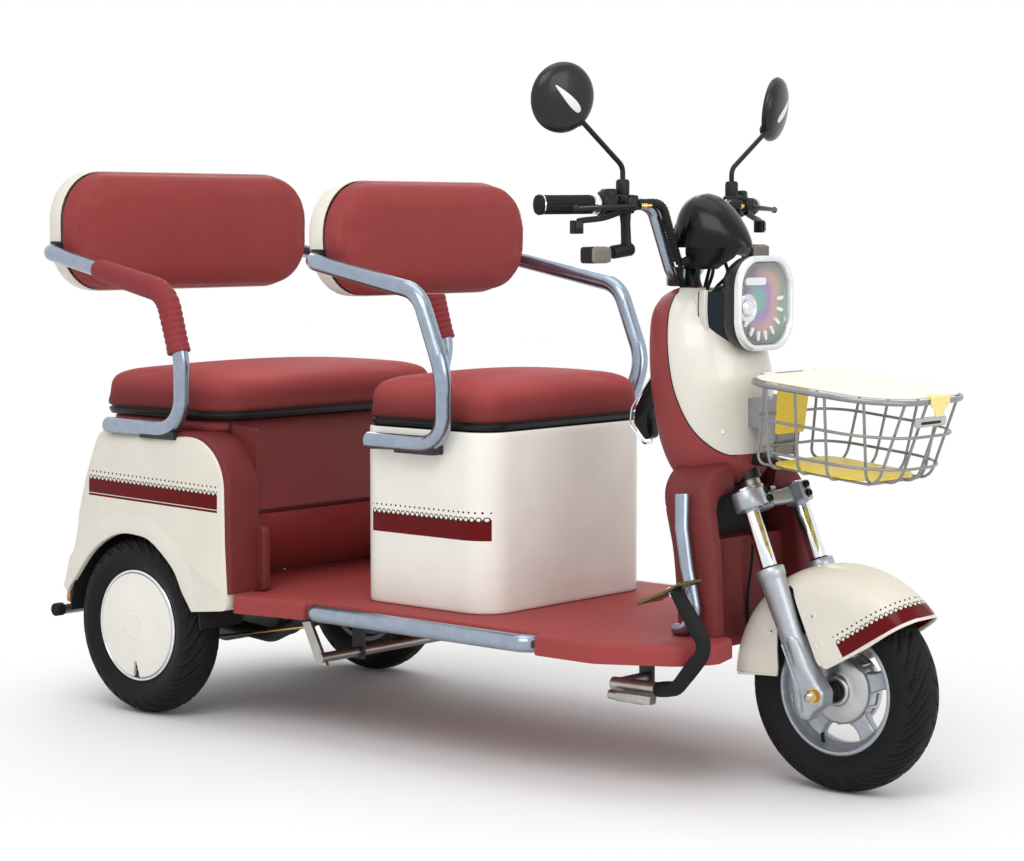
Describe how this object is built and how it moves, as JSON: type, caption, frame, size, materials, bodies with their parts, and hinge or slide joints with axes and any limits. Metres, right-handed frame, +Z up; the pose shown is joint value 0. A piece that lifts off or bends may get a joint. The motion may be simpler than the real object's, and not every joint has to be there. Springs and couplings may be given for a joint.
{
  "type": "electric leisure tricycle",
  "caption": "Low electric tricycle with a steered front wheel, driven rear axle, driver's seat box, wide rear bench, armrests, backrests, wire basket and flat footwell.",
  "frame": {"origin": "on the ground under the middle of the bounding box", "axes": "+X forward, +Y to the rider's left, +Z up"},
  "size_m": [1.981, 0.8298, 1.2924],
  "materials": {
    "frame_black": "satin",
    "motor_grey": "satin",
    "red_floor": "matte",
    "silver_tube": "gloss",
    "cream_paint": "gloss",
    "black_plastic": "satin",
    "red_panel": "satin",
    "amber_lens": "gloss",
    "black_steel": "satin",
    "red_leather": "satin",
    "battery": "matte",
    "red_foam": "matte",
    "cream_shell": "satin",
    "lamp_glass": "gloss",
    "grey_wire": "satin",
    "yellow_plastic": "gloss",
    "white_plastic": "satin",
    "cast_grey": "satin",
    "chrome_tube": "polished",
    "brass_plated": "satin",
    "black_rubber": "matte",
    "mirror_glass": "gloss",
    "smoked_lens": "gloss",
    "gloss_black": "gloss",
    "tyre_rubber": "matte"
  },
  "bodies": {
    "chassis": {"chassis_frame": "frame_black", "rear_axle": "frame_black", "drive_motor": "motor_grey", "rear_suspension": "frame_black", "floor_board": "red_floor", "side_tubes": "silver_tube", "rear_fenders": "cream_paint", "wheel_liners": "black_plastic", "bench_deck": "red_panel", "footwell_panel": "red_panel", "tail_panel": "cream_paint", "tail_lamps": "amber_lens", "rear_bumper": "black_steel", "driver_seat_box": "cream_paint", "battery_pack": "battery", "bench_arm_tube": "silver_tube", "driver_arm_tube": "silver_tube", "arm_brackets": "black_plastic", "arm_sleeves": "red_foam", "bench_back_pad": "red_leather", "bench_back_shell": "cream_shell", "driver_back_pad": "red_leather", "driver_back_shell": "cream_shell", "back_clamps": "black_steel", "column_cover": "red_panel", "front_cover": "cream_paint", "leg_shield": "red_panel", "inner_panel": "red_panel", "guard_bars": "silver_tube", "bag_hook": "black_plastic", "headlamp_housing": "black_plastic", "headlamp_lens": "lamp_glass", "front_basket": "grey_wire", "basket_liner": "yellow_plastic", "brake_shaft": "silver_tube", "brake_rod": "brass_plated", "brake_pedal": "black_rubber"},
    "steering": {"fork_yoke": "cast_grey", "fork_tubes": "chrome_tube", "fork_legs": "cast_grey", "front_axle": "brass_plated", "front_fender": "cream_paint", "handlebar": "silver_tube", "grips": "black_rubber", "bar_controls": "black_plastic", "wiring_loom": "black_rubber", "mirrors": "mirror_glass", "turn_signals": "smoked_lens", "instrument_pod": "gloss_black"},
    "front_wheel": {"front_rim": "cast_grey", "front_tyre": "tyre_rubber"},
    "right_wheel": {"rear_right_wheel": "cream_paint", "rear_right_tyre": "tyre_rubber"},
    "left_wheel": {"rear_left_wheel": "cream_paint", "rear_left_tyre": "tyre_rubber"},
    "driver_lid": {"driver_pan": "black_plastic", "driver_cushion": "red_leather"},
    "bench_lid": {"bench_pan": "black_plastic", "bench_cushion": "red_leather"},
    "carrier_lid": {"basket_lid": "white_plastic"}
  },
  "joints": [
    {"name": "steering_turn", "type": "hinge", "parent": "chassis", "child": "steering", "pos_m": [0.605, 0, 0.501], "axis": [-0.3827, 0, 0.9239], "range_deg": [-38, 38]},
    {"name": "front_wheel_spin", "type": "hinge", "parent": "steering", "child": "front_wheel", "pos_m": [0.8, 0, 0.184], "axis": [0, 1, 0], "continuous": true},
    {"name": "right_wheel_spin", "type": "hinge", "parent": "chassis", "child": "right_wheel", "pos_m": [-0.689, -0.3315, 0.184], "axis": [0, 1, 0], "continuous": true},
    {"name": "left_wheel_spin", "type": "hinge", "parent": "chassis", "child": "left_wheel", "pos_m": [-0.689, 0.3315, 0.184], "axis": [0, 1, 0], "continuous": true},
    {"name": "driver_lid_hinge", "type": "hinge", "parent": "chassis", "child": "driver_lid", "pos_m": [0.173, 0, 0.6165], "axis": [0, 1, 0], "range_deg": [0, 70]},
    {"name": "bench_lid_hinge", "type": "hinge", "parent": "chassis", "child": "bench_lid", "pos_m": [-0.4555, 0, 0.6105], "axis": [0, 1, 0], "range_deg": [0, 65]},
    {"name": "carrier_lid_hinge", "type": "hinge", "parent": "chassis", "child": "carrier_lid", "pos_m": [0.67029, 0, 0.7434], "axis": [0, -1, 0], "range_deg": [0, 75]}
  ]
}
